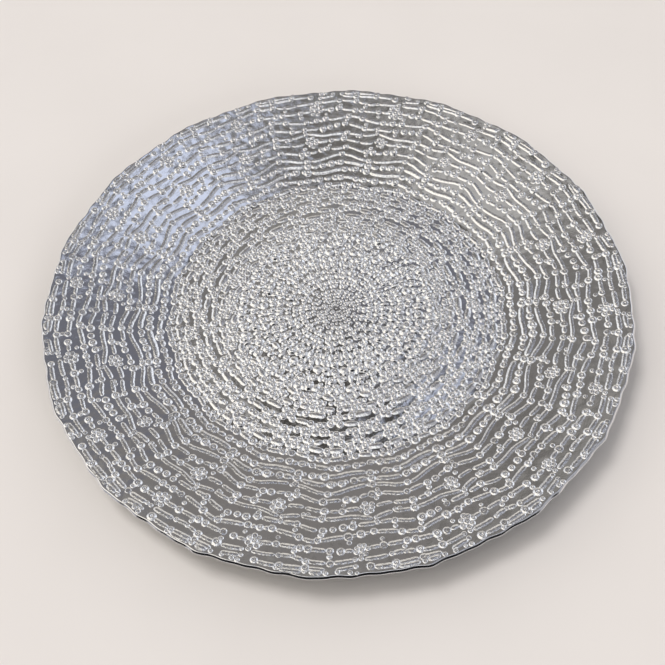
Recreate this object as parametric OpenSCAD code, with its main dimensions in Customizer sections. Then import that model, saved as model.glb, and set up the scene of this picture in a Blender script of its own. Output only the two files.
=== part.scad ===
// Charger plate of pressed glass with a silvered, lacquered upper face.
// Millimetres, +Z up. The origin is the centre of the base, on the table.

/* [Plate] */
// Diameter across two opposite peaks of the rim
rim_d = 331.5; // [260:0.5:400]
// Height of the rim's peaks above the table
plate_h = 22.5; // [15:0.5:40]
// Diameter of the flat floor of the well
floor_d = 190; // [120:1:220]
// Radius of the bend from the floor into the sloping rim
bend_r = 30; // [10:1:60]

/* [Rim lobes] */
// Number of shallow lobes round the rim
lobes = 18; // [8:2:36]
// Radius of each lobe's arc: half of rim_d would give a plain circle
lobe_r = 400; // [220:5:1200]
// Direction of the first peak, anticlockwise from +X, in degrees
first_peak = 3; // [0:0.5:20]

/* [Glass] */
// Thickness of the glass in the floor
floor_t = 4.5; // [3:0.1:8]
// Height of the edge, coatings included
edge_t = 3; // [2:0.1:5]

/* [Coatings] */
// Thickness of the silver film with its relief
film_t = 0.5; // [0.2:0.05:1]
// Thickness of the clear lacquer over the film
lacquer_t = 0.3; // [0.1:0.05:0.6]

/* [Hidden] */
$fn = 180;

rim_r = rim_d / 2;
floor_r = floor_d / 2;
coat_t = film_t + lacquer_t;

// Slope of the rim's upper face
rim_slope = atan2(plate_h - floor_t - coat_t, rim_r - floor_r);

// The underside turns up where the floor keeps its thickness round the bend
base_r = floor_r + floor_t * tan(rim_slope / 2);
base_slope = atan2(plate_h - edge_t, rim_r - base_r);

// Each lobe is an arc whose centre lies beyond the axis
half_lobe = 180 / lobes;
lobe_centre = rim_r * cos(half_lobe) - sqrt(pow(lobe_r, 2) - pow(rim_r * sin(half_lobe), 2));

// Flat steps along a bend
bend_steps = 8;

// Room by which a cutting shape passes what it cuts
clear = 2;

// Half section of a face: flat to its corner, round the bend and up the slope past the rim
function face(corner_r, floor_z, slope, radius) =
    let (
        start_r = corner_r - radius * tan(slope / 2),
        end_r = rim_r + clear
    )
    concat(
        [[0, floor_z]],
        [for (i = [0:bend_steps])
            let (turn = slope * i / bend_steps)
            [start_r + radius * sin(turn), floor_z + radius * (1 - cos(turn))]],
        [[end_r, floor_z + (end_r - corner_r) * tan(slope)]]
    );

function reversed(points) = [for (i = [len(points) - 1:-1:0]) points[i]];

// Upper face of the glass, raised by the coats that lie on it
function upper_face(lift) = face(floor_r, floor_t + lift, rim_slope, bend_r);

function under_face() = face(base_r, 0, base_slope, bend_r + floor_t);

// Plan of the rim: the area that all the lobes' circles share
module rim_plan() {
    intersection_for (i = [0:lobes - 1])
        rotate(first_peak + half_lobe * (2 * i + 1))
            translate([lobe_centre, 0])
                rotate(180)
                    circle(lobe_r);
}

// A round dish between two half sections, cut to the plan of the rim
module layer(lower, upper) {
    intersection() {
        rotate_extrude()
            polygon(concat(lower, reversed(upper)));
        translate([0, 0, -clear])
            linear_extrude(plate_h + 2 * clear)
                rim_plan();
    }
}

module glass_body() {
    color([0.78, 0.84, 0.82, 0.6])
        layer(under_face(), upper_face(0));
}

module silver_film() {
    color([0.72, 0.72, 0.73])
        layer(upper_face(0), upper_face(film_t));
}

module clear_lacquer() {
    color([0.93, 0.94, 0.95, 0.3])
        layer(upper_face(film_t), upper_face(coat_t));
}

glass_body();
silver_film();
clear_lacquer();
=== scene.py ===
"""Looks of a silvered, pressed-glass charger plate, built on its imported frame.

The plate is one pressed glass blank. Its upper face carries rows of beads and bars and a mirror film
under clear lacquer. The blank and the film are lobed dishes, and the relief stands on the film.
Sizes are in millimetres, and meshes are made in metres.
"""

import logging
import math
from dataclasses import dataclass
from enum import Enum
from typing import Any, Iterator, NamedTuple, Sequence

import bpy
import numpy as np
from mathutils import Matrix, Vector


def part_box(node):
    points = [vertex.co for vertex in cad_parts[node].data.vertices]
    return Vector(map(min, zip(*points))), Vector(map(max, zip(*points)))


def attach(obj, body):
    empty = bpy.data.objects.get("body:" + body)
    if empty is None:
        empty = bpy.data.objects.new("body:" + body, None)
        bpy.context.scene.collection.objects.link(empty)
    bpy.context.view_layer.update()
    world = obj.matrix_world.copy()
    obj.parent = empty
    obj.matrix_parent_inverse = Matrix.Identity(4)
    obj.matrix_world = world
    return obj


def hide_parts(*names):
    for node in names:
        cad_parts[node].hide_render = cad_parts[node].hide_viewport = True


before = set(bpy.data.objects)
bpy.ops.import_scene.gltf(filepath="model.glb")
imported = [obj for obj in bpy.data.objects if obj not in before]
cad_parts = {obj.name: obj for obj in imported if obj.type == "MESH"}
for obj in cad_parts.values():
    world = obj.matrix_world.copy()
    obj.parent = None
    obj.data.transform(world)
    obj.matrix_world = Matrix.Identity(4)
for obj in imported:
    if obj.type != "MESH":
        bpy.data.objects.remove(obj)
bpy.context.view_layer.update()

LOG = logging.getLogger("charger_plate")
MM = 0.001
BODY = "root"
IMAGE_WIDTH = 665

# Kinds of node that are used often
MATH = "ShaderNodeMath"
VECTOR_MATH = "ShaderNodeVectorMath"
MAP_RANGE = "ShaderNodeMapRange"
NOISE = "ShaderNodeTexNoise"
SPLIT = "ShaderNodeSeparateXYZ"
JOIN = "ShaderNodeCombineXYZ"
ATTRIBUTE = "GeometryNodeInputNamedAttribute"
POSITION = "GeometryNodeInputPosition"
SET_POSITION = "GeometryNodeSetPosition"
REAL = "NodeSocketFloat"
WHOLE = "NodeSocketInt"

# Range that holds nearly all the values of a noise
NOISE_LOW = 0.3
NOISE_HIGH = 0.7

# Degrees between two radii of a row of the relief
ROW_STEP = 4.0


def linear(colour: str) -> tuple[float, float, float, float]:
    """Turns an sRGB hex colour into linear light.

    Args:
        colour: Six hex digits.

    Returns:
        Red, green, blue and an alpha of 1.
    """
    shares = [int(colour[i:i + 2], 16) / 255 for i in (0, 2, 4)]
    light = [s / 12.92 if s <= 0.04045 else ((s + 0.055) / 1.055) ** 2.4 for s in shares]
    return light[0], light[1], light[2], 1.0


def add_node(tree: bpy.types.NodeTree, kind: str, inputs: dict[Any, Any] | None = None,
             **settings: Any) -> bpy.types.Node:
    """Adds a node with its settings, and fills or links its inputs.

    Args:
        tree: Node tree that takes the node.
        kind: Type name of the node.
        inputs: Values or output sockets by the name or number of the input.
        **settings: Properties of the node.

    Returns:
        The new node.
    """
    node = tree.nodes.new(kind)
    for name, value in settings.items():
        setattr(node, name, value)
    for key, value in (inputs or {}).items():
        if isinstance(value, bpy.types.NodeSocket):
            tree.links.new(value, node.inputs[key])
        else:
            node.inputs[key].default_value = value
    return node


def new_material(name: str) -> tuple[bpy.types.Material, bpy.types.NodeTree, bpy.types.Node]:
    """Makes a material with an empty tree.

    Args:
        name: Name of the material.

    Returns:
        The material, its tree and the output node.
    """
    material = bpy.data.materials.new(name)
    material.use_nodes = True
    material.node_tree.nodes.clear()
    return material, material.node_tree, add_node(material.node_tree, "ShaderNodeOutputMaterial")


def per_metre(size: float) -> float:
    """Gives the scale of a pattern whose features are so many millimetres wide."""
    return 1 / (size * MM)


def bumps(tree: bpy.types.NodeTree, place: bpy.types.NodeSocket, *layers: tuple[float, float, float]
          ) -> tuple[bpy.types.NodeSocket, bpy.types.NodeSocket]:
    """Lays bumps of several sizes over each other.

    Args:
        tree: Tree of the material.
        place: Output socket with the place on the piece.
        *layers: Width and depth of each layer's bumps, and the detail of its noise.

    Returns:
        Output sockets with the last layer's noise and with the normal.
    """
    below: dict[str, bpy.types.NodeSocket] = {}
    for width, depth, detail in layers:
        noise = add_node(tree, NOISE, {"Vector": place, "Scale": per_metre(width), "Detail": detail})
        bump = add_node(tree, "ShaderNodeBump", {"Height": noise.outputs["Fac"], "Strength": 1.0,
                                                 "Distance": depth * MM, **below})
        below = {"Normal": bump.outputs["Normal"]}
    return noise.outputs["Fac"], below["Normal"]


@dataclass(frozen=True)
class SilverFilm:
    """Bright metal film on pressed glass, under clear lacquer.

    To the eye it is a clean mirror that shows the room in every slope of the relief, with faint ripples
    from the mould on the flats and a soft cloudiness where the lacquer is uneven. The grain is drawn
    coarser than it is, so that it shows. On the relief it is deeper, and each edge breaks into sparkles.
    """

    name: str = "silver_film_under_lacquer"
    bright: str = "ECECEE"
    cloudy: str = "DEDEE0"
    cloud: float = 38.0
    cloud_detail: float = 3.0
    ripple: float = 7.0
    ripple_depth: float = 0.28
    ripple_detail: float = 1.0
    grain: float = 0.9
    grain_depth: float = 0.030
    grain_detail: float = 2.0
    clear_rough: float = 0.05
    cloudy_rough: float = 0.11
    coat: float = 0.3
    coat_rough: float = 0.04

    def material(self) -> bpy.types.Material:
        """Builds the film's material.

        Returns:
            The material.
        """
        material, tree, output = new_material(self.name)
        place = add_node(tree, "ShaderNodeTexCoord").outputs["Object"]
        cloud = add_node(tree, NOISE, {"Vector": place, "Scale": per_metre(self.cloud),
                                       "Detail": self.cloud_detail}).outputs["Fac"]
        colour = add_node(tree, "ShaderNodeMixRGB", {"Fac": cloud, "Color1": linear(self.bright),
                                                     "Color2": linear(self.cloudy)})
        rough = add_node(tree, MAP_RANGE, {"Value": cloud, "From Min": NOISE_LOW, "From Max": NOISE_HIGH,
                                           "To Min": self.clear_rough, "To Max": self.cloudy_rough})
        _, normal = bumps(tree, place, (self.ripple, self.ripple_depth, self.ripple_detail),
                          (self.grain, self.grain_depth, self.grain_detail))
        shader = add_node(tree, "ShaderNodeBsdfPrincipled", {
            "Base Color": colour.outputs[0], "Metallic": 1.0, "Roughness": rough.outputs["Result"],
            "Normal": normal, "Coat Weight": self.coat, "Coat Roughness": self.coat_rough})
        tree.links.new(shader.outputs["BSDF"], output.inputs["Surface"])
        return material


@dataclass(frozen=True)
class PressedGlass:
    """Clear soda-lime glass, pressed and fire-polished.

    To the eye it is clear with a faint green cast, a little wavy, and shows the back of the film.
    """

    tint: str = "E9F2EE"
    ior: float = 1.52
    wave: float = 16.0
    wave_depth: float = 0.06
    wave_detail: float = 1.0
    chill: float = 2.4
    chill_depth: float = 0.008
    chill_detail: float = 2.0
    polished_rough: float = 0.02
    chilled_rough: float = 0.06

    def material(self) -> bpy.types.Material:
        """Builds the glass.

        Returns:
            The material.
        """
        material, tree, output = new_material("pressed_soda_lime_glass")
        place = add_node(tree, "ShaderNodeTexCoord").outputs["Object"]
        chill, normal = bumps(tree, place, (self.wave, self.wave_depth, self.wave_detail),
                              (self.chill, self.chill_depth, self.chill_detail))
        rough = add_node(tree, MAP_RANGE, {"Value": chill, "From Min": NOISE_LOW, "From Max": NOISE_HIGH,
                                           "To Min": self.polished_rough, "To Max": self.chilled_rough})
        shader = add_node(tree, "ShaderNodeBsdfPrincipled", {
            "Base Color": linear(self.tint), "Transmission Weight": 1.0, "IOR": self.ior,
            "Roughness": rough.outputs["Result"], "Normal": normal})
        tree.links.new(shader.outputs["BSDF"], output.inputs["Surface"])
        return material


@dataclass(frozen=True)
class PaleTable:
    """Matt pale laminate: an even warm white with a breath of mottling."""

    light: str = "E8E2DE"
    dark: str = "E2DCD8"
    mottle: float = 90.0
    mottle_detail: float = 3.0
    rough: float = 0.55
    gloss: float = 0.25

    def material(self) -> bpy.types.Material:
        """Builds the table top.

        Returns:
            The material.
        """
        material, tree, output = new_material("pale_laminate")
        place = add_node(tree, "ShaderNodeTexCoord").outputs["Object"]
        mottle = add_node(tree, NOISE, {"Vector": place, "Scale": per_metre(self.mottle),
                                        "Detail": self.mottle_detail})
        ramp = add_node(tree, "ShaderNodeValToRGB", {"Fac": mottle.outputs["Fac"]})
        ramp.color_ramp.elements[0].color = linear(self.dark)
        ramp.color_ramp.elements[1].color = linear(self.light)
        shader = add_node(tree, "ShaderNodeBsdfPrincipled", {
            "Base Color": ramp.outputs["Color"], "Roughness": self.rough, "Specular IOR Level": self.gloss})
        tree.links.new(shader.outputs["BSDF"], output.inputs["Surface"])
        return material


class PolarPoint(NamedTuple):
    """A place on the upper face: radius and angle in degrees.

    What stands there has a half width, and a height as a share of the usual one.
    """

    radius: float
    angle: float
    girth: float
    rise: float = 1.0


@dataclass(frozen=True)
class Face:
    """A face of the plate in half section: flat, then round a bend, then straight up a slope.

    The corner is the radius at which flat and slope would meet. The slope is in radians.
    """

    corner: float
    slope: float
    bend: float

    def tilt(self, radius: float) -> float:
        """Gives the tilt of the face.

        Args:
            radius: Distance from the axis.

        Returns:
            The tilt, in radians.
        """
        start = self.corner - self.bend * math.tan(self.slope / 2)
        return min(math.asin(min(max((radius - start) / self.bend, 0.0), 1.0)), self.slope)

    def rise(self, radius: float) -> float:
        """Gives the height of the face above its flat part.

        Args:
            radius: Distance from the axis.

        Returns:
            The height.
        """
        tilt = self.tilt(radius)
        if tilt < self.slope:
            return self.bend * (1 - math.cos(tilt))
        return (radius - self.corner) * math.tan(self.slope)


@dataclass(frozen=True)
class PlateForm:
    """Sizes of the plate, and the faces that they give."""

    rim_r: float
    plate_h: float
    floor_t: float
    coat_t: float
    floor_r: float = 95.0
    bend_r: float = 30.0
    edge_t: float = 3.0
    lobes: int = 18
    lobe_r: float = 400.0
    first_peak: float = 3.0

    @classmethod
    def from_frame(cls) -> "PlateForm":
        """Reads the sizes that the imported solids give.

        Returns:
            The plate's form.
        """
        glass_low, glass_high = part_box("glass_body")
        film_low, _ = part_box("silver_film")
        _, lacquer_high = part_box("clear_lacquer")
        half_width = (glass_high.x - glass_low.x) / 2 / MM
        return cls(rim_r=half_width / math.cos(math.radians(cls.first_peak)),
                   plate_h=lacquer_high.z / MM, floor_t=film_low.z / MM,
                   coat_t=(lacquer_high.z - glass_high.z) / MM)

    @property
    def slope(self) -> float:
        """Slope of the rim's upper face, in radians."""
        return math.atan2(self.plate_h - self.floor_t - self.coat_t, self.rim_r - self.floor_r)

    @property
    def top(self) -> Face:
        """The glass's upper face."""
        return Face(self.floor_r, self.slope, self.bend_r)

    @property
    def bottom(self) -> Face:
        """The glass's underside, which keeps the floor's thickness round the bend.

        Returns:
            The face.
        """
        base_r = self.floor_r + self.floor_t * math.tan(self.slope / 2)
        slope = math.atan2(self.plate_h - self.edge_t, self.rim_r - base_r)
        return Face(base_r, slope, self.bend_r + self.floor_t)

    @property
    def lobe_centre(self) -> float:
        """Place of a lobe's centre along its own middle line."""
        half = math.pi / self.lobes
        drop = math.sqrt(self.lobe_r ** 2 - (self.rim_r * math.sin(half)) ** 2)
        return self.rim_r * math.cos(half) - drop

    def upper(self, radius: float) -> float:
        """Height of the glass's upper face."""
        return self.floor_t + self.top.rise(radius)

    def place(self, point: PolarPoint, lift: float) -> tuple[Vector, Vector]:
        """Puts a point of the relief on the upper face.

        Args:
            point: Radius and angle of the point.
            lift: Height above the glass.

        Returns:
            The place in metres, and the way that the face looks there.
        """
        turn = math.radians(point.angle)
        tilt = self.top.tilt(point.radius)
        out = Vector((math.cos(turn), math.sin(turn), 0.0))
        place = out * point.radius + Vector((0, 0, self.upper(point.radius) + lift))
        facing = Vector((0, 0, math.cos(tilt))) - out * math.sin(tilt)
        return place * MM, facing


def new_tree(name: str, sizes: dict[str, str]) -> tuple[bpy.types.NodeTree, bpy.types.Node]:
    """Starts a geometry tree with a geometry input and named sizes.

    Args:
        name: Name of the tree.
        sizes: Socket type by the name of each size.

    Returns:
        The tree and its input node.
    """
    tree = bpy.data.node_groups.new(name, "GeometryNodeTree")
    tree.interface.new_socket("Geometry", in_out="INPUT", socket_type="NodeSocketGeometry")
    tree.interface.new_socket("Geometry", in_out="OUTPUT", socket_type="NodeSocketGeometry")
    for label, kind in sizes.items():
        tree.interface.new_socket(label, in_out="INPUT", socket_type=kind)
    return tree, add_node(tree, "NodeGroupInput")


def end_tree(tree: bpy.types.NodeTree, shape: bpy.types.NodeSocket, material: bpy.types.Material,
             crease: float) -> None:
    """Ends a tree: real faces, smooth apart from creases, and the material.

    Args:
        tree: The tree to end.
        shape: Output socket with the finished shape.
        material: Material of the piece.
        crease: Angle from which an edge stays sharp, in degrees.
    """
    real = add_node(tree, "GeometryNodeRealizeInstances", {"Geometry": shape})
    smooth = add_node(tree, "GeometryNodeSetShadeSmooth",
                      {"Geometry": real.outputs[0], "Shade Smooth": True}, domain="FACE")
    angle = add_node(tree, "GeometryNodeInputMeshEdgeAngle").outputs["Unsigned Angle"]
    sharp = add_node(tree, "FunctionNodeCompare", {0: angle, 1: math.radians(crease)},
                     operation="GREATER_THAN", data_type="FLOAT")
    creased = add_node(tree, "GeometryNodeSetShadeSmooth", {
        "Geometry": smooth.outputs[0], "Selection": sharp.outputs[0], "Shade Smooth": False},
        domain="EDGE")
    dressed = add_node(tree, "GeometryNodeSetMaterial", {"Geometry": creased.outputs[0],
                                                         "Material": material})
    add_node(tree, "NodeGroupOutput", {"Geometry": dressed.outputs[0]})


def grow(name: str, seed: bpy.types.Mesh, tree: bpy.types.NodeTree, sizes: dict[str, float]
         ) -> bpy.types.Object:
    """Runs a geometry tree on a seed mesh and keeps the result as a plain mesh.

    Args:
        name: Name of the piece.
        seed: Mesh that the tree starts from.
        tree: The geometry tree.
        sizes: Values of the tree's named inputs.

    Returns:
        The piece.
    """
    piece = bpy.data.objects.new(name, seed)
    bpy.context.scene.collection.objects.link(piece)
    modifier = piece.modifiers.new("form", "NODES")
    modifier.node_group = tree
    for item in tree.interface.items_tree:
        if item.in_out == "INPUT" and item.name in sizes:
            modifier[item.identifier] = sizes[item.name]
    evaluated = piece.evaluated_get(bpy.context.evaluated_depsgraph_get())
    mesh = bpy.data.meshes.new_from_object(evaluated)
    mesh.name = name
    piece.modifiers.clear()
    piece.data = mesh
    return piece


def seed_mesh(name: str, points: Sequence[Vector], edges: Sequence[tuple[int, int]] = (),
              facing: Sequence[Vector] = (), **shares: Sequence[float]) -> bpy.types.Mesh:
    """Makes a mesh of points and lines for a tree to start from.

    Args:
        name: Name of the mesh.
        points: Places in metres.
        edges: Pairs of points that a line joins.
        facing: The way that the face looks at each point.
        **shares: A number at each point, by the name of what it gives.

    Returns:
        The mesh.
    """
    mesh = bpy.data.meshes.new(name)
    mesh.from_pydata([tuple(p) for p in points], list(edges), [])
    if facing:
        layer = mesh.attributes.new("facing", "FLOAT_VECTOR", "POINT")
        layer.data.foreach_set("vector", np.array([tuple(f) for f in facing], np.float32).ravel())
    for label, values in shares.items():
        layer = mesh.attributes.new(label, "FLOAT", "POINT")
        layer.data.foreach_set("value", np.array(values, np.float32))
    return mesh


@dataclass
class LobedDish:
    """A half section spun round the axis, with a softly lobed edge.

    Fine ripples run round the edge on top of the lobes. The inset keeps them inside the solids' box.
    """

    form: PlateForm
    turn_steps: int = 540
    lobed_from: float = 120.0
    ripple: float = 0.22
    ripple_counts: tuple[float, float] = (55.0, 83.0)
    inset: float = 0.45
    weld: float = 0.001
    crease: float = 55.0

    def tree(self, material: bpy.types.Material) -> bpy.types.NodeTree:
        """Builds the tree that spins a section: a unit grid, along the section and round the axis.

        Args:
            material: Material of the dish.

        Returns:
            The tree.
        """
        tree, given = new_tree("lobed_dish", {
            "Section Points": WHOLE, "Turn Steps": WHOLE, "Lobes": REAL, "Lobe Radius": REAL,
            "Lobe Centre": REAL, "First Peak": REAL, "Rim Radius": REAL, "Lobed From": REAL,
            "Rim Slope": REAL, "Ripple": REAL})
        size = given.outputs
        columns = add_node(tree, MATH, {0: size["Turn Steps"], 1: 1.0}, operation="ADD")
        grid = add_node(tree, "GeometryNodeMeshGrid", {
            "Size X": 1.0, "Size Y": 1.0, "Vertices X": size["Section Points"],
            "Vertices Y": columns.outputs[0]})
        spot = add_node(tree, SPLIT, {0: add_node(tree, POSITION).outputs[0]})
        along = add_node(tree, MATH, {0: spot.outputs["X"], 1: 0.5}, operation="ADD")
        round_turn = add_node(tree, MATH, {0: spot.outputs["Y"], 1: 0.5}, operation="ADD")
        last = add_node(tree, MATH, {0: size["Section Points"], 1: 1.0}, operation="SUBTRACT")
        step = add_node(tree, MATH, {0: along.outputs[0], 1: last.outputs[0]}, operation="MULTIPLY")
        number = add_node(tree, "FunctionNodeFloatToInt", {0: step.outputs[0]}, rounding_mode="ROUND")
        flat = add_node(tree, SPLIT, {0: self.sampled_section(tree, size["Geometry"], number.outputs[0])})
        angle = add_node(tree, MATH, {0: round_turn.outputs[0], 1: math.tau},
                         operation="MULTIPLY").outputs[0]
        swell = add_node(tree, MAP_RANGE, {
            "Value": flat.outputs["X"], "From Min": size["Lobed From"], "From Max": size["Rim Radius"]},
            interpolation_type="SMOOTHSTEP")
        spare = add_node(tree, MATH, {0: self.reach(tree, size, angle), 1: size["Rim Radius"]},
                         operation="SUBTRACT")
        shift = add_node(tree, MATH, {0: spare.outputs[0], 1: swell.outputs["Result"]},
                         operation="MULTIPLY")
        radius = add_node(tree, MATH, {0: flat.outputs["X"], 1: shift.outputs[0]}, operation="ADD")
        height = add_node(tree, MATH, {0: shift.outputs[0], 1: size["Rim Slope"], 2: flat.outputs["Z"]},
                          operation="MULTIPLY_ADD")
        cosine = add_node(tree, MATH, {0: angle}, operation="COSINE")
        sine = add_node(tree, MATH, {0: angle}, operation="SINE")
        east = add_node(tree, MATH, {0: radius.outputs[0], 1: cosine.outputs[0]}, operation="MULTIPLY")
        north = add_node(tree, MATH, {0: radius.outputs[0], 1: sine.outputs[0]}, operation="MULTIPLY")
        place = add_node(tree, JOIN, {"X": east.outputs[0], "Y": north.outputs[0], "Z": height.outputs[0]})
        moved = add_node(tree, SET_POSITION, {"Geometry": grid.outputs["Mesh"],
                                              "Position": place.outputs[0]})
        closed = add_node(tree, "GeometryNodeMergeByDistance", {"Geometry": moved.outputs[0],
                                                                "Distance": self.weld * MM})
        end_tree(tree, closed.outputs[0], material, self.crease)
        return tree

    def sampled_section(self, tree: bpy.types.NodeTree, section: bpy.types.NodeSocket,
                        number: bpy.types.NodeSocket) -> bpy.types.NodeSocket:
        """Reads the section's point of a given number.

        Args:
            tree: The tree to add to.
            section: Output socket with the section.
            number: Output socket with the point's number.

        Returns:
            Output socket with the point's place.
        """
        sample = add_node(tree, "GeometryNodeSampleIndex", {"Geometry": section},
                          data_type="FLOAT_VECTOR", domain="POINT")
        own = add_node(tree, POSITION)
        tree.links.new(own.outputs[0], next(s for s in sample.inputs if s.name == "Value" and s.enabled))
        tree.links.new(number, sample.inputs["Index"])
        return next(s for s in sample.outputs if s.enabled)

    def reach(self, tree: bpy.types.NodeTree, size: Any, angle: bpy.types.NodeSocket
              ) -> bpy.types.NodeSocket:
        """Works out how far the lobed edge reaches at an angle.

        Args:
            tree: The tree to add to.
            size: The tree's named inputs.
            angle: Output socket with the angle, in radians.

        Returns:
            Output socket with the radius of the edge.
        """
        lobe = add_node(tree, MATH, {0: math.tau, 1: size["Lobes"]}, operation="DIVIDE")
        half = add_node(tree, MATH, {0: math.pi, 1: size["Lobes"]}, operation="DIVIDE")
        turned = add_node(tree, MATH, {0: angle, 1: size["First Peak"]}, operation="SUBTRACT")
        within = add_node(tree, MATH, {0: turned.outputs[0], 1: lobe.outputs[0]},
                          operation="FLOORED_MODULO")
        off = add_node(tree, MATH, {0: within.outputs[0], 1: half.outputs[0]}, operation="SUBTRACT")
        sine = add_node(tree, MATH, {0: off.outputs[0]}, operation="SINE")
        cosine = add_node(tree, MATH, {0: off.outputs[0]}, operation="COSINE")
        across = add_node(tree, MATH, {0: size["Lobe Centre"], 1: sine.outputs[0]}, operation="MULTIPLY")
        across_2 = add_node(tree, MATH, {0: across.outputs[0], 1: across.outputs[0]}, operation="MULTIPLY")
        arc_2 = add_node(tree, MATH, {0: size["Lobe Radius"], 1: size["Lobe Radius"]}, operation="MULTIPLY")
        rest = add_node(tree, MATH, {0: arc_2.outputs[0], 1: across_2.outputs[0]}, operation="SUBTRACT")
        root = add_node(tree, MATH, {0: rest.outputs[0]}, operation="SQRT")
        total = add_node(tree, MATH, {0: size["Lobe Centre"], 1: cosine.outputs[0], 2: root.outputs[0]},
                         operation="MULTIPLY_ADD").outputs[0]
        for count in self.ripple_counts:
            phase = add_node(tree, MATH, {0: angle, 1: count}, operation="MULTIPLY")
            wave = add_node(tree, MATH, {0: phase.outputs[0]}, operation="SINE")
            total = add_node(tree, MATH, {0: wave.outputs[0], 1: size["Ripple"], 2: total},
                             operation="MULTIPLY_ADD").outputs[0]
        return total

    def spin(self, name: str, section: Sequence[tuple[float, float]], material: bpy.types.Material
             ) -> bpy.types.Object:
        """Spins a half section into a closed dish.

        Args:
            name: Name of the piece.
            section: Radius and height of each point, from the axis out and back to the axis.
            material: Material of the dish.

        Returns:
            The piece.
        """
        points = [Vector((r, 0, z)) * MM for r, z in section]
        edges = [(i, i + 1) for i in range(len(points) - 1)]
        form = self.form
        return grow(name, seed_mesh(f"{name}_section", points, edges), self.tree(material), {
            "Section Points": len(points), "Turn Steps": self.turn_steps, "Lobes": float(form.lobes),
            "Lobe Radius": form.lobe_r * MM, "Lobe Centre": form.lobe_centre * MM,
            "First Peak": math.radians(form.first_peak), "Rim Radius": form.rim_r * MM,
            "Lobed From": self.lobed_from * MM, "Rim Slope": math.tan(form.slope),
            "Ripple": self.ripple * MM})


@dataclass
class PlateShells:
    """The glass blank and the film that covers its upper face and its edge.

    The edge has a round, a bevel and a second round. Heights are above the glass's face in the solids.
    """

    form: PlateForm
    film_lift: float = -0.45
    film_t: float = 0.09
    parting: float = 0.03
    nose_r: float = 0.6
    bevel: float = 0.9
    bevel_angle: float = 42.0
    film_lip: float = -35.0
    glass_lip: float = -70.0
    upper_join: float = 0.3
    under_join: float = 1.0
    bend_margin: tuple[float, float] = (1.0, 2.0)
    flat_points: int = 8
    bend_points: int = 10
    slope_points: int = 10
    round_points: tuple[int, int] = (6, 8)

    @property
    def nose_start(self) -> float:
        """Radius at which the upper face gives way to the bevel."""
        out = self.nose_r + self.bevel * math.sin(math.radians(self.bevel_angle))
        return self.form.rim_r - LobedDish.inset - out

    def face_radii(self, end: float) -> list[float]:
        """Gives radii along a face: few on the flat and the slope, more round the bend.

        Args:
            end: Outermost radius.

        Returns:
            The radii, from the axis outwards.
        """
        form = self.form
        reach = form.bend_r * math.tan(form.slope / 2)
        before, after = self.bend_margin
        bend = np.linspace(form.floor_r - reach - before, form.floor_r + reach + after, self.bend_points)
        flat = np.linspace(0, bend[0], self.flat_points, endpoint=False)
        slope = np.linspace(bend[-1], end, self.slope_points)[1:]
        return [*map(float, flat), *map(float, bend), *map(float, slope)]

    def nose(self, lift: float, stop: float) -> list[tuple[float, float]]:
        """Gives the bevelled edge, with its two small rounds, at a height above the glass.

        Args:
            lift: Height above the glass's own face.
            stop: Angle at which the edge stops, in degrees from straight out.

        Returns:
            Points of the edge.
        """
        form = self.form
        start = 90 + math.degrees(form.slope)
        fall = math.radians(self.bevel_angle)
        high_r = self.nose_start
        high_z = form.upper(high_r) + self.film_lift - self.nose_r / math.cos(form.slope)
        low_r = high_r + self.bevel * math.sin(fall)
        low_z = high_z - self.bevel * math.cos(fall)
        radius = self.nose_r - (self.film_lift - lift)
        high_points, low_points = self.round_points
        rounds = ((high_r, high_z, np.linspace(start, self.bevel_angle, high_points)),
                  (low_r, low_z, np.linspace(self.bevel_angle, stop, low_points)))
        return [(r + radius * math.cos(math.radians(a)), z + radius * math.sin(math.radians(a)))
                for r, z, angles in rounds for a in angles]

    def upper_line(self, lift: float, lip: float) -> list[tuple[float, float]]:
        """Gives the upper face and the edge, from the axis out, at a height above the glass.

        Args:
            lift: Height above the glass's own face.
            lip: Angle at which the edge stops, in degrees from straight out.

        Returns:
            Radius and height of each point.
        """
        form = self.form
        end = self.nose_start - self.nose_r * math.sin(form.slope) - self.upper_join
        return [(r, form.upper(r) + lift) for r in self.face_radii(end)] + self.nose(lift, lip)

    def film(self, material: bpy.types.Material) -> bpy.types.Object:
        """Builds the film as a thin closed shell that wraps the edge.

        Args:
            material: Material of the film.

        Returns:
            The piece.
        """
        outside = self.upper_line(self.film_lift, self.film_lip)
        inside = self.upper_line(self.film_lift - self.film_t, self.film_lip)
        return LobedDish(self.form).spin("silver_skin", outside + inside[::-1], material)

    def blank(self, material: bpy.types.Material) -> bpy.types.Object:
        """Builds the glass blank with its fire-polished edge.

        Args:
            material: Material of the glass.

        Returns:
            The piece.
        """
        form = self.form
        outside = self.upper_line(self.film_lift - self.film_t - self.parting, self.glass_lip)
        under_end = form.rim_r - LobedDish.inset - self.nose_r - self.under_join
        under = [(r, form.bottom.rise(r)) for r in self.face_radii(under_end)]
        return LobedDish(form).spin("glass_blank", outside + under[::-1], material)


class Motif(Enum):
    """Marks of the relief's chart, one for each half degree of a row."""

    GAP = "."
    BAR = "-"
    PAD = "="
    BEAD = "o"
    SEED = "q"
    ROSETTE = "*"


@dataclass(frozen=True)
class Row:
    """One row of the relief over one lobe: its radii at even steps, and its marks."""

    radii: tuple[float, float, float, float, float]
    marks: str

    def radius(self, angle: float) -> float:
        """Gives the row's radius on a smooth closed line through its radii.

        Args:
            angle: Degrees from the lobe's peak.

        Returns:
            The radius.
        """
        count = len(self.radii)
        place = angle / ROW_STEP
        first = math.floor(place)
        share = place - first
        before, here, after, beyond = (self.radii[(first + k) % count] for k in (-1, 0, 1, 2))
        return here + 0.5 * share * (after - before + share * (
            2 * before - 5 * here + 4 * after - beyond + share * (3 * (here - after) + beyond - before)))


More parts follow.
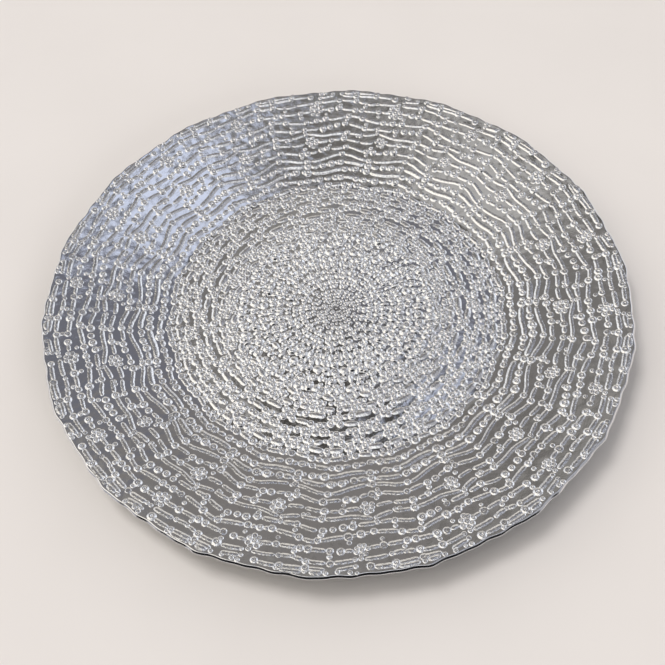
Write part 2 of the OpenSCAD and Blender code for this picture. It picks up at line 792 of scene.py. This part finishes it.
# Charts of the relief, from the edge inwards: a row of seeds alone links its neighbours
RIM_ROWS = (
    Row((161.8, 161.6, 161.6, 161.4, 161.8), "====.q...q...q.q............q.-------.q."),
    Row((159.8, 160.4, 159.0, 160.2, 160.0), "-----....------q....o.------.o-------.o-"),
    Row((156.3, 156.6, 155.5, 155.2, 154.2), "-----.o.-------q.q.--------.q----q---.o-"),
    Row((153.0, 153.4, 152.8, 152.2, 151.6), "......q..........................q......"),
    Row((149.6, 150.3, 150.2, 149.2, 149.0), "-----.o...o.---...*..----.o.------.o..o-"),
    Row((147.4, 146.8, 146.2, 145.2, 145.8), ".............q............q............."),
    Row((145.2, 143.2, 142.2, 141.2, 142.6), "-o.---------.o.--.o.--.o.--------.o.----"),
    Row((142.0, 140.8, 139.4, 138.8, 139.4), "..q.............................q......."),
    Row((138.9, 138.3, 136.5, 136.4, 136.3), "-..o...o...o...o..-------q.-----o.------"),
    Row((135.6, 135.4, 134.0, 134.8, 133.9), "...............q.........q.............."),
    Row((132.4, 132.4, 131.4, 133.2, 131.5), "-.o.--------------------.q-------.------"),
    Row((130.4, 130.4, 130.4, 130.4, 130.4), "...q..............................q.q..."),
    Row((127.6, 128.1, 127.0, 126.8, 125.9), "--.o..----.o.------...*....-------.-----"),
    Row((125.0, 124.8, 124.1, 123.0, 122.8), "............q..............q............"),
    Row((122.4, 121.5, 121.2, 119.3, 119.7), "-.o.-------..o...o..----.o...o.---------"),
    Row((119.7, 119.4, 117.9, 116.4, 117.0), ".............................q.........."),
    Row((117.0, 117.3, 114.6, 113.4, 114.2), "---.o.------------------.q.o.-----------"),
)

INNER_ROWS = (
    Row((112.0, 111.5, 109.9, 109.4, 110.6), "---..o.--..o.--..o..-----..o..----------"),
    Row((107.0, 106.8, 105.1, 105.3, 106.6), "..o.---------------------..o..--...o.---"),
    Row((101.5, 101.6, 100.4, 100.2, 99.9), "----.o...o..-----...o.----..o.--..o.----"),
    Row((96.6, 95.8, 95.2, 94.0, 95.2), "..o.---------.o..q..o..--------..o..----"),
)

FLOOR_ROWS = (
    Row((93.9, 93.4, 92.8, 92.0, 92.8), "..q....q...q.....q.......q...q........q."),
    Row((91.0, 90.8, 90.2, 89.8, 90.2), "..o.---------.----.o..----..o.----------"),
    Row((88.3, 88.4, 88.3, 87.8, 88.5), ".....q.......q...q...q.......q...q......"),
    Row((85.6, 86.0, 86.4, 85.8, 86.8), "q...o.-----.o..------.o..----.o..------."),
    Row((83.0, 83.6, 83.5, 83.1, 84.1), ".....q...q...q.........q...q............"),
    Row((80.3, 81.2, 80.6, 80.4, 81.4), ".o.----.o..-----..o....o...o..------..o."),
    Row((77.8, 78.2, 77.8, 77.9, 79.1), ".q..........................q..q..q....."),
    Row((75.3, 75.2, 75.0, 75.4, 76.8), "-...o.......o..-----------..o.---.o.----"),
    Row((73.4, 73.4, 73.4, 73.4, 73.4), "........o..............................."),
    Row((70.6, 71.2, 71.0, 70.4, 70.2), "...o...q...o..-----..o..---------------."),
    Row((68.3, 68.8, 68.5, 68.1, 68.5), "..q.......q............q..........q...q."),
    Row((66.0, 66.5, 66.0, 65.8, 66.8), "-------....o..---------..o..----..o.----"),
    Row((64.4, 64.3, 63.7, 63.3, 64.4), "...........q...q...q...q...q...q...q...."),
    Row((62.8, 62.2, 61.5, 60.8, 62.0), ".-----..o..-------..o..------...o..----."),
    Row((61.0, 60.8, 60.2, 58.9, 59.6), ".........q....q....q....q....q.........."),
    Row((59.2, 59.4, 59.0, 57.0, 57.2), "------...o.....o..----------...o..------"),
)

MIDDLE_ROWS = (
    Row((57.2, 57.4, 57.0, 55.8, 56.2), "......q......................q.........."),
    Row((54.6, 54.6, 53.5, 54.2, 54.8), "...o...------..o....----------..o..----."),
    Row((51.8, 51.9, 51.0, 51.2, 51.6), ".......q........q...........q........q.."),
    Row((48.7, 48.8, 47.4, 47.4, 47.5), "..o...q...----..o...q...-------..q..---."),
    Row((45.8, 45.6, 44.7, 44.3, 44.9), ".........q...........q.........q........"),
    Row((43.0, 42.5, 42.0, 41.8, 41.2), "--.....o.....--------------.....o....---"),
    Row((39.6, 39.8, 39.4, 39.0, 38.6), ".......q......................q........."),
    Row((37.5, 37.3, 36.8, 36.4, 37.2), "......o.....----------.....o.....-------"),
    Row((35.0, 35.0, 34.8, 34.6, 34.8), "........q...................q..........."),
    Row((33.0, 32.6, 32.7, 32.4, 32.8), "---.......o.....-----.....o......-------"),
    Row((30.2, 30.2, 30.2, 30.2, 30.2), "..........q.................q..........."),
    Row((27.8, 27.7, 27.2, 27.3, 27.6), "---.......o.......q.......o.......------"),
    Row((23.8, 23.8, 23.6, 23.3, 23.8), "--------------..........o.......o.....--"),
    Row((21.7, 21.7, 21.7, 21.7, 21.7), "......................q................."),
    Row((19.7, 19.7, 19.7, 19.7, 19.7), "..o...............o.....-------------..."),
    Row((16.3, 16.3, 16.3, 16.3, 16.3), ".............o......----------------...."),
)


@dataclass
class Relief:
    """Rows of beads, bars and rosettes that stand on the film.

    A bead and a bar are alike in section: level on the crown, then a smooth side that runs out into the
    film. A bead is a low button with a pit in the middle of its crown. Heights and crowns are shares of
    the half width, which fades towards the middle of the plate from a start and over a length. Rings of
    beads fill the middle where no row is charted.
    """

    form: PlateForm
    name: str
    rows: tuple[Row, ...]
    rings_from: float = 0.0
    rings_to: float = 1.5
    ring_pitch: float = 0.94
    ring_step: float = 0.84
    bead_size: float = 2.4
    bead_fade: tuple[float, float] = (8.0, 40.0)
    bar_size: float = 1.5
    bar_fade: tuple[float, float] = (14.0, 30.0)
    lift: float = -0.48
    mark_step: float = 0.5
    bead_crown: float = 0.52
    bead_tall: float = 0.20
    bead_sides: int = 10
    bead_rings: int = 6
    pit: float = 0.36
    pit_depth: float = 0.8
    ring_spread: float = 0.8
    bar_crown: float = 0.15
    bar_tall: float = 0.25
    bar_points: int = 9
    bar_step: float = 3.0
    overhang: float = 0.2
    tip_limit: float = 0.45
    tip_line: tuple[tuple[float, float], ...] = ((0.0, 0.3), (0.3, 0.72))
    pad_share: float = 1.35
    seed_share: float = 0.62
    petals: int = 7
    petal_share: float = 0.72
    petal_ring: float = 1.3
    heart_share: float = 1.2
    wander: float = 0.28
    growth: float = 0.07
    swell: float = 0.25
    rise_limits: tuple[float, float] = (0.6, 1.4)
    crease: float = 75.0
    seed: int = 11

    def __post_init__(self) -> None:
        """Starts the fixed-seed chance that keeps the beads from being all alike."""
        self.chance = np.random.default_rng(self.seed)

    def faded(self, size: float, radius: float, fade: tuple[float, float]) -> float:
        """Gives a half width that shrinks towards the middle."""
        start, length = fade
        return size * (1 - math.exp(-(radius + start) / length))

    def bead_r(self, radius: float) -> float:
        """Half width of a bead."""
        return self.faded(self.bead_size, radius, self.bead_fade)

    def unalike(self, spot: PolarPoint) -> PolarPoint:
        """Moves a bead a little and changes its size and height a little, as pressing does.

        Args:
            spot: The bead as charted.

        Returns:
            The bead as pressed.
        """
        spreads = (self.wander, self.wander, self.growth, self.swell)
        out, side, growth, rise = self.chance.normal(0.0, spreads)
        lowest, highest = self.rise_limits
        return PolarPoint(spot.radius + out, spot.angle + math.degrees(side / max(spot.radius, 1.0)),
                          spot.girth * (1 + growth), min(max(1 + rise, lowest), highest))

    def close_rings(self) -> list[PolarPoint]:
        """Lists the beads of the middle: close-set rings that shrink towards the axis.

        Returns:
            A point for each bead.
        """
        found = []
        radius = self.rings_from
        while radius > self.rings_to:
            width = 2 * self.bead_r(radius)
            count = round(math.tau * radius / (self.ring_pitch * width))
            turn = self.chance.uniform(0, 360)
            ring = [PolarPoint(radius, turn + 360 * i / count, width / 2) for i in range(count)]
            found += [self.unalike(bead) for bead in ring]
            radius -= self.ring_step * width
        if self.rings_from:
            found.append(PolarPoint(0.0, 0.0, self.bead_r(0.0)))
        return found

    def marks(self, row: Row) -> Iterator[tuple[int, Motif]]:
        """Lists a row's marks all the way round."""
        for number, mark in enumerate(row.marks * self.form.lobes):
            yield number, Motif(mark)

    def spot(self, row: Row, place: float, girth: float) -> PolarPoint:
        """Gives the point of a row at a place counted in marks."""
        angle = place * self.mark_step
        return PolarPoint(row.radius(angle), angle + self.form.first_peak, girth)

    def beads(self, wanted: Sequence[Motif]) -> list[PolarPoint]:
        """Lists the single beads of the given kinds.

        Args:
            wanted: Marks that are taken.

        Returns:
            A point for each bead.
        """
        found = []
        for row in self.rows:
            for number, motif in self.marks(row):
                if motif in wanted:
                    girth = self.bead_r(row.radii[0]) * (self.seed_share if motif is Motif.SEED else 1.0)
                    found.append(self.unalike(self.spot(row, number + 0.5, girth)))
        return found

    def rosettes(self) -> list[PolarPoint]:
        """Lists the beads of the rosettes: one in the middle, and petals round it.

        Returns:
            A point for each bead.
        """
        found = []
        for middle in self.beads((Motif.ROSETTE,)):
            girth = middle.girth * self.petal_share
            found.append(middle._replace(girth=girth * self.heart_share))
            for petal in range(self.petals):
                turn = math.tau * petal / self.petals
                out = middle.radius + middle.girth * self.petal_ring * math.sin(turn)
                side = math.degrees(middle.girth * self.petal_ring * math.cos(turn) / middle.radius)
                found.append(self.unalike(PolarPoint(out, middle.angle + side, girth)))
        return found

    def runs(self, row: Row, wanted: Motif) -> list[tuple[int, int]]:
        """Finds the unbroken runs of one mark in a row.

        Args:
            row: The row.
            wanted: The mark.

        Returns:
            First and last mark of each run, the last past the end where the run crosses the start.
        """
        ring = [motif is wanted for _, motif in self.marks(row)]
        count = len(ring)
        found = []
        for start in range(count):
            if ring[start] and not ring[start - 1]:
                stop = start
                while ring[(stop + 1) % count]:
                    stop += 1
                found.append((start, stop))
        return found

    def bar_line(self, row: Row, start: float, stop: float, share: float) -> list[PolarPoint]:
        """Lays a bar along its row, with rounded ends.

        Args:
            row: The row.
            start: Where the bar starts, in marks.
            stop: Where it stops.
            share: Its width as a share of the usual one.

        Returns:
            Points along the bar.
        """
        radius = row.radius((start + stop) / 2 * self.mark_step)
        girth = self.faded(self.bar_size, radius, self.bar_fade) * share
        girth *= 1 + self.chance.normal(0.0, self.growth)
        per_mark = math.radians(self.mark_step) * radius
        length = (stop - start) * per_mark
        tip = min(girth, length * self.tip_limit)
        inner = max(2, math.ceil((length - 2 * tip) / self.bar_step) + 1)
        head = [(place * tip, width) for place, width in self.tip_line]
        tail = [(length - place, width) for place, width in reversed(head)]
        stations = [*head, *((s, 1.0) for s in np.linspace(tip, length - tip, inner)), *tail]
        return [self.spot(row, start + s / per_mark, girth * width) for s, width in stations]

    def side(self, tree: bpy.types.NodeTree, across: bpy.types.NodeSocket, crown: bpy.types.NodeSocket
             ) -> bpy.types.NodeSocket:
        """Gives the height of the relief's section, from 1 on the crown to 0 at the foot.

        Args:
            tree: The tree to add to.
            across: Output socket with the distance from the middle, as a share of the half width.
            crown: Output socket with the share that is level.

        Returns:
            Output socket with the height.
        """
        return add_node(tree, MAP_RANGE, {
            "Value": across, "From Min": crown, "From Max": 1.0, "To Min": 1.0, "To Max": 0.0},
            interpolation_type="SMOOTHSTEP").outputs["Result"]

    def bead_tree(self, material: bpy.types.Material) -> bpy.types.NodeTree:
        """Builds the tree that sets a pitted button on each point.

        Args:
            material: Material of the beads.

        Returns:
            The tree.
        """
        tree, given = new_tree(f"{self.name}_beads", {
            "Segments": WHOLE, "Rings": WHOLE, "Crown": REAL, "Pit": REAL, "Pit Depth": REAL, "Tall": REAL})
        size = given.outputs
        cone = add_node(tree, "GeometryNodeMeshCone", {
            "Vertices": size["Segments"], "Side Segments": size["Rings"], "Radius Top": 0.0,
            "Radius Bottom": 1.0, "Depth": 1.0}, fill_type="NGON")
        spot = add_node(tree, SPLIT, {0: add_node(tree, POSITION).outputs[0]})
        level = add_node(tree, JOIN, {"X": spot.outputs["X"], "Y": spot.outputs["Y"]})
        even = add_node(tree, VECTOR_MATH, {0: level.outputs[0]}, operation="LENGTH")
        across = add_node(tree, MATH, {0: even.outputs["Value"], 1: self.ring_spread}, operation="POWER")
        outward = add_node(tree, VECTOR_MATH, {0: level.outputs[0]}, operation="NORMALIZE")
        spread = add_node(tree, VECTOR_MATH, {0: outward.outputs[0], "Scale": across.outputs[0]},
                          operation="SCALE")
        rise = self.side(tree, across.outputs[0], size["Crown"])
        bottom = add_node(tree, MATH, {0: 1.0, 1: size["Pit Depth"]}, operation="SUBTRACT")
        dish = add_node(tree, MAP_RANGE, {
            "Value": across.outputs[0], "From Min": 0.0, "From Max": size["Pit"],
            "To Min": bottom.outputs[0], "To Max": 1.0}, interpolation_type="SMOOTHSTEP")
        height = add_node(tree, MATH, {0: rise, 1: dish.outputs["Result"]}, operation="MULTIPLY")
        flat = add_node(tree, SPLIT, {0: spread.outputs[0]})
        raised = add_node(tree, JOIN, {"X": flat.outputs["X"], "Y": flat.outputs["Y"],
                                       "Z": height.outputs[0]})
        button = add_node(tree, SET_POSITION, {"Geometry": cone.outputs["Mesh"],
                                               "Position": raised.outputs[0]})
        facing = add_node(tree, ATTRIBUTE, {"Name": "facing"}, data_type="FLOAT_VECTOR")
        girth = add_node(tree, ATTRIBUTE, {"Name": "girth"}, data_type="FLOAT")
        share = add_node(tree, ATTRIBUTE, {"Name": "rise"}, data_type="FLOAT")
        usual = add_node(tree, MATH, {0: girth.outputs[0], 1: size["Tall"]}, operation="MULTIPLY")
        tall = add_node(tree, MATH, {0: usual.outputs[0], 1: share.outputs[0]}, operation="MULTIPLY")
        scale = add_node(tree, JOIN, {"X": girth.outputs[0], "Y": girth.outputs[0], "Z": tall.outputs[0]})
        turned = add_node(tree, "FunctionNodeAlignRotationToVector", {"Vector": facing.outputs[0]},
                          axis="Z")
        points = add_node(tree, "GeometryNodeMeshToPoints", {"Mesh": size["Geometry"]})
        set_on = add_node(tree, "GeometryNodeInstanceOnPoints", {
            "Points": points.outputs[0], "Instance": button.outputs[0], "Rotation": turned.outputs[0],
            "Scale": scale.outputs[0]})
        end_tree(tree, set_on.outputs[0], material, self.crease)
        return tree

    def bar_tree(self, material: bpy.types.Material) -> bpy.types.NodeTree:
        """Builds the tree that draws a low rounded ridge along each line.

        Args:
            material: Material of the bars.

        Returns:
            The tree.
        """
        tree, given = new_tree(f"{self.name}_bars", {"Profile Points": WHOLE, "Crown": REAL, "Tall": REAL})
        size = given.outputs
        arc = add_node(tree, "GeometryNodeCurveArc", {"Resolution": size["Profile Points"], "Radius": 1.0,
                                                      "Start Angle": -math.pi / 2, "Sweep Angle": math.pi})
        spot = add_node(tree, SPLIT, {0: add_node(tree, POSITION).outputs[0]})
        across = add_node(tree, MATH, {0: spot.outputs["Y"]}, operation="ABSOLUTE")
        rise = self.side(tree, across.outputs[0], size["Crown"])
        tall = add_node(tree, MATH, {0: rise, 1: size["Tall"]}, operation="MULTIPLY")
        raised = add_node(tree, JOIN, {"X": tall.outputs[0], "Y": spot.outputs["Y"]})
        low = add_node(tree, SET_POSITION, {"Geometry": arc.outputs[0], "Position": raised.outputs[0]})
        profile = add_node(tree, "GeometryNodeSetSplineCyclic", {"Geometry": low.outputs[0],
                                                                 "Cyclic": True})
        facing = add_node(tree, ATTRIBUTE, {"Name": "facing"}, data_type="FLOAT_VECTOR")
        girth = add_node(tree, ATTRIBUTE, {"Name": "girth"}, data_type="FLOAT")
        path = add_node(tree, "GeometryNodeMeshToCurve", {"Mesh": size["Geometry"]})
        upright = add_node(tree, "GeometryNodeSetCurveNormal", {"Curve": path.outputs[0]}, mode="FREE")
        tree.links.new(facing.outputs[0], upright.inputs["Normal"])
        swept = add_node(tree, "GeometryNodeCurveToMesh", {
            "Curve": upright.outputs[0], "Profile Curve": profile.outputs[0], "Scale": girth.outputs[0],
            "Fill Caps": True})
        end_tree(tree, swept.outputs[0], material, self.crease)
        return tree

    def set_beads(self, name: str, beads: Sequence[PolarPoint], material: bpy.types.Material
                  ) -> bpy.types.Object:
        """Makes one piece of all the beads given.

        Args:
            name: Name of the piece.
            beads: Places and half widths.
            material: Material of the beads.

        Returns:
            The piece.
        """
        placed = [self.form.place(bead, self.lift) for bead in beads]
        seed = seed_mesh(f"{name}_points", [p for p, _ in placed], facing=[f for _, f in placed],
                         girth=[bead.girth * MM for bead in beads], rise=[bead.rise for bead in beads])
        return grow(name, seed, self.bead_tree(material), {
            "Segments": self.bead_sides, "Rings": self.bead_rings, "Crown": self.bead_crown,
            "Pit": self.pit, "Pit Depth": self.pit_depth, "Tall": self.bead_tall})

    def lay_bars(self, name: str, material: bpy.types.Material) -> bpy.types.Object:
        """Makes one piece of all the bars.

        Args:
            name: Name of the piece.
            material: Material of the bars.

        Returns:
            The piece.
        """
        points, facing, girth, edges = [], [], [], []
        runs = [(row, start, stop, share) for row in self.rows
                for motif, share in ((Motif.BAR, 1.0), (Motif.PAD, self.pad_share))
                for start, stop in self.runs(row, motif)]
        for row, start, stop, share in runs:
            line = self.bar_line(row, start - self.overhang, stop + 1 + self.overhang, share)
            edges += [(len(points) + i, len(points) + i + 1) for i in range(len(line) - 1)]
            for spot in line:
                place, look = self.form.place(spot, self.lift)
                points.append(place)
                facing.append(look)
                girth.append(spot.girth * MM)
        seed = seed_mesh(f"{name}_lines", points, edges, facing, girth=girth)
        return grow(name, seed, self.bar_tree(material), {
            "Profile Points": self.bar_points, "Crown": self.bar_crown, "Tall": self.bar_tall})

    def build(self, material: bpy.types.Material) -> list[bpy.types.Object]:
        """Builds the pieces of this part of the relief.

        Args:
            material: Material of the film.

        Returns:
            The pieces.
        """
        groups = {"beads": self.beads((Motif.BEAD, Motif.SEED)) + self.close_rings(),
                  "rosettes": self.rosettes()}
        pieces = [self.set_beads(f"{self.name}_{kind}", spots, material)
                  for kind, spots in groups.items() if spots]
        return [*pieces, self.lay_bars(f"{self.name}_bars", material)]


def bearing(azimuth: float, elevation: float) -> Vector:
    """Gives the unit vector of a direction.

    Args:
        azimuth: Degrees anticlockwise from +X.
        elevation: Degrees above the table.

    Returns:
        The vector.
    """
    turn = math.radians(azimuth)
    lift = math.radians(elevation)
    return Vector((math.cos(lift) * math.cos(turn), math.cos(lift) * math.sin(turn), math.sin(lift)))


@dataclass(frozen=True)
class Card:
    """A soft-edged patch of the surround, by its direction from the plate.

    Azimuth is anticlockwise from +X, and all angles are in degrees.
    """

    azimuth: float
    elevation: float
    radius: float
    edge: float
    colour: str
    glow: float = 1.0


@dataclass(frozen=True)
class Lamp:
    """A soft square lamp that shines on the table and the plate but isn't mirrored in the film.

    Its direction from the plate is in degrees, its distance and side in metres and its power in watts.
    """

    name: str
    azimuth: float
    elevation: float
    distance: float
    side: float
    power: float

    def hang(self) -> None:
        """Hangs the lamp, turned to the plate."""
        light = bpy.data.lights.new(self.name, "AREA")
        light.shape = "SQUARE"
        light.size = self.side
        light.energy = self.power
        away = bearing(self.azimuth, self.elevation)
        holder = bpy.data.objects.new(self.name, light)
        holder.location = away * self.distance
        holder.visible_glossy = False
        holder.rotation_mode = "QUATERNION"
        holder.rotation_quaternion = away.to_track_quat("Z", "Y")
        bpy.context.scene.collection.objects.link(holder)


@dataclass
class Studio:
    """Table, surround, lamps and camera."""

    table_size: float = 4000.0
    surround: str = "B6B6BA"
    cards: tuple[Card, ...] = (
        Card(180.0, 48.0, 30.0, 10.0, "FFF9EE", 1.45),
        Card(150.0, 60.0, 18.0, 8.0, "FFF9EE", 1.35),
        Card(42.0, 24.0, 20.0, 8.0, "F4F8FF", 1.25),
        Card(138.0, 24.0, 20.0, 8.0, "FFFFFF", 1.15),
        Card(90.0, 6.0, 18.0, 8.0, "FFF9EE", 0.95),
        Card(90.0, 54.0, 26.0, 8.0, "827E7A"),
        Card(90.0, 37.0, 9.0, 4.0, "86827F"),
        Card(95.5, 45.0, 2.5, 2.5, "706D69"),
        Card(106.0, 53.0, 5.0, 5.0, "7E7B78"),
        Card(92.0, 49.0, 3.0, 3.0, "96938E"),
        Card(73.0, 54.0, 8.0, 6.0, "75767F"),
        Card(74.0, 66.0, 5.5, 4.5, "DEE6FA", 1.1),
        Card(112.0, 68.0, 6.0, 7.0, "BEBCB8"),
        Card(90.0, 75.0, 5.0, 5.0, "6E6B67"),
        Card(90.0, 61.5, 3.5, 4.0, "484541"),
        Card(270.0, 83.0, 12.0, 6.0, "FFFFFF", 1.3),
        Card(232.0, 5.0, 20.0, 6.0, "2E2E30"),
        Card(308.0, 5.0, 20.0, 6.0, "2E2E30"),
        Card(270.0, 27.0, 34.0, 8.0, "242426"),
    )
    lamps: tuple[Lamp, ...] = (
        Lamp("key", 155.0, 70.0, 5.0, 1.6, 86.0),
        Lamp("fill", 296.0, 22.0, 3.0, 1.2, 20.0),
    )
    view_elevation: float = 54.45
    view_roll: float = -3.343
    view_distance: float = 531.82
    view_focal: float = 931.2
    view_aim: tuple[float, float] = (3.4, -29.9)
    view_centre_z: float = 10.0
    sensor: float = 36.0

    def set_table(self) -> None:
        """Lays the table that the plate stands on."""
        half = self.table_size / 2 * MM
        corners = [(-half, -half, 0), (half, -half, 0), (half, half, 0), (-half, half, 0)]
        mesh = bpy.data.meshes.new("table")
        mesh.from_pydata(corners, [], [(0, 1, 2, 3)])
        mesh.materials.append(PaleTable().material())
        table = bpy.data.objects.new("table", mesh)
        bpy.context.scene.collection.objects.link(table)

    def set_surround(self) -> None:
        """Makes the soft pale dome with its cards."""
        world = bpy.data.worlds.new("studio")
        world.use_nodes = True
        tree = world.node_tree
        tree.nodes.clear()
        look = add_node(tree, "ShaderNodeTexCoord").outputs["Generated"]
        colour: Any = linear(self.surround)
        for card in self.cards:
            middle = bearing(card.azimuth, card.elevation)
            along = add_node(tree, VECTOR_MATH, {0: look, 1: middle}, operation="DOT_PRODUCT")
            share = add_node(tree, MAP_RANGE, {
                "Value": along.outputs["Value"],
                "From Min": math.cos(math.radians(card.radius + card.edge)),
                "From Max": math.cos(math.radians(card.radius - card.edge))},
                interpolation_type="SMOOTHSTEP")
            light = [part * card.glow for part in linear(card.colour)]
            mix = add_node(tree, "ShaderNodeMixRGB", {"Fac": share.outputs["Result"], "Color1": colour,
                                                      "Color2": light})
            colour = mix.outputs[0]
        background = add_node(tree, "ShaderNodeBackground", {"Color": colour, "Strength": 1.0})
        add_node(tree, "ShaderNodeOutputWorld", {"Surface": background.outputs[0]})
        bpy.context.scene.world = world

    def hang_lamps(self) -> None:
        """Hangs the key, up on the far left, and the low fill at the near right."""
        for lamp in self.lamps:
            lamp.hang()

    def set_camera(self) -> None:
        """Sets the camera to the photograph's view."""
        lift = math.radians(self.view_elevation)
        roll = math.radians(self.view_roll)
        back = Vector((0, -math.cos(lift), math.sin(lift)))
        level = Vector((1, 0, 0))
        over = back.cross(level)
        right = math.cos(roll) * level + math.sin(roll) * over
        up = math.cos(roll) * over - math.sin(roll) * level
        pan, tilt = (math.atan2(aim, self.view_focal) for aim in self.view_aim)
        straight = -back * math.cos(tilt) * math.cos(pan)
        ahead = (straight - right * math.sin(pan) + up * math.sin(tilt)).normalized()
        right = ahead.cross(up).normalized()
        up = right.cross(ahead)
        data = bpy.data.cameras.new("photo_view")
        data.sensor_width = self.sensor
        data.lens = self.view_focal * self.sensor / IMAGE_WIDTH
        camera = bpy.data.objects.new("photo_view", data)
        turn = Matrix((right, up, -ahead)).transposed().to_4x4()
        eye = (back * self.view_distance + Vector((0, 0, self.view_centre_z))) * MM
        camera.matrix_world = Matrix.Translation(eye) @ turn
        bpy.context.scene.collection.objects.link(camera)
        bpy.context.scene.camera = camera


def report(piece: bpy.types.Object) -> None:
    """Logs a piece and its count of faces."""
    LOG.info("%s: %d faces", piece.name, len(piece.data.polygons))


def main() -> None:
    """Builds the plate and the studio."""
    logging.basicConfig(level=logging.INFO, format="%(message)s")
    bpy.context.scene.view_settings.view_transform = "Standard"
    studio = Studio()
    studio.set_camera()
    studio.set_surround()
    studio.hang_lamps()
    studio.set_table()

    form = PlateForm.from_frame()
    silver = SilverFilm().material()
    shells = PlateShells(form)
    blank = shells.blank(PressedGlass().material())
    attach(blank, BODY)
    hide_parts("glass_body")
    report(blank)
    skin = shells.film(silver)
    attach(skin, BODY)
    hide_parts("silver_film", "clear_lacquer")
    report(skin)
    sparkling = SilverFilm(name="silver_film_on_relief", grain=1.0, grain_depth=0.22).material()
    rim = Relief(form, "rim", RIM_ROWS)
    inner = Relief(form, "inner", INNER_ROWS, bead_size=2.7, bar_size=1.9, seed=14)
    floor = Relief(form, "floor", FLOOR_ROWS, bead_size=2.75, bar_size=2.1, bead_crown=0.45, bead_tall=0.24,
                   seed=12)
    middle = Relief(form, "middle", MIDDLE_ROWS, rings_from=13.2, bead_size=3.7, bar_size=3.3,
                    bead_crown=0.36, bead_tall=0.34, bar_tall=0.33, growth=0.12, swell=0.3, seed=13)
    for part in (rim, inner, floor, middle):
        for piece in part.build(sparkling):
            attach(piece, BODY)
            report(piece)


if __name__ == "__main__":
    main()
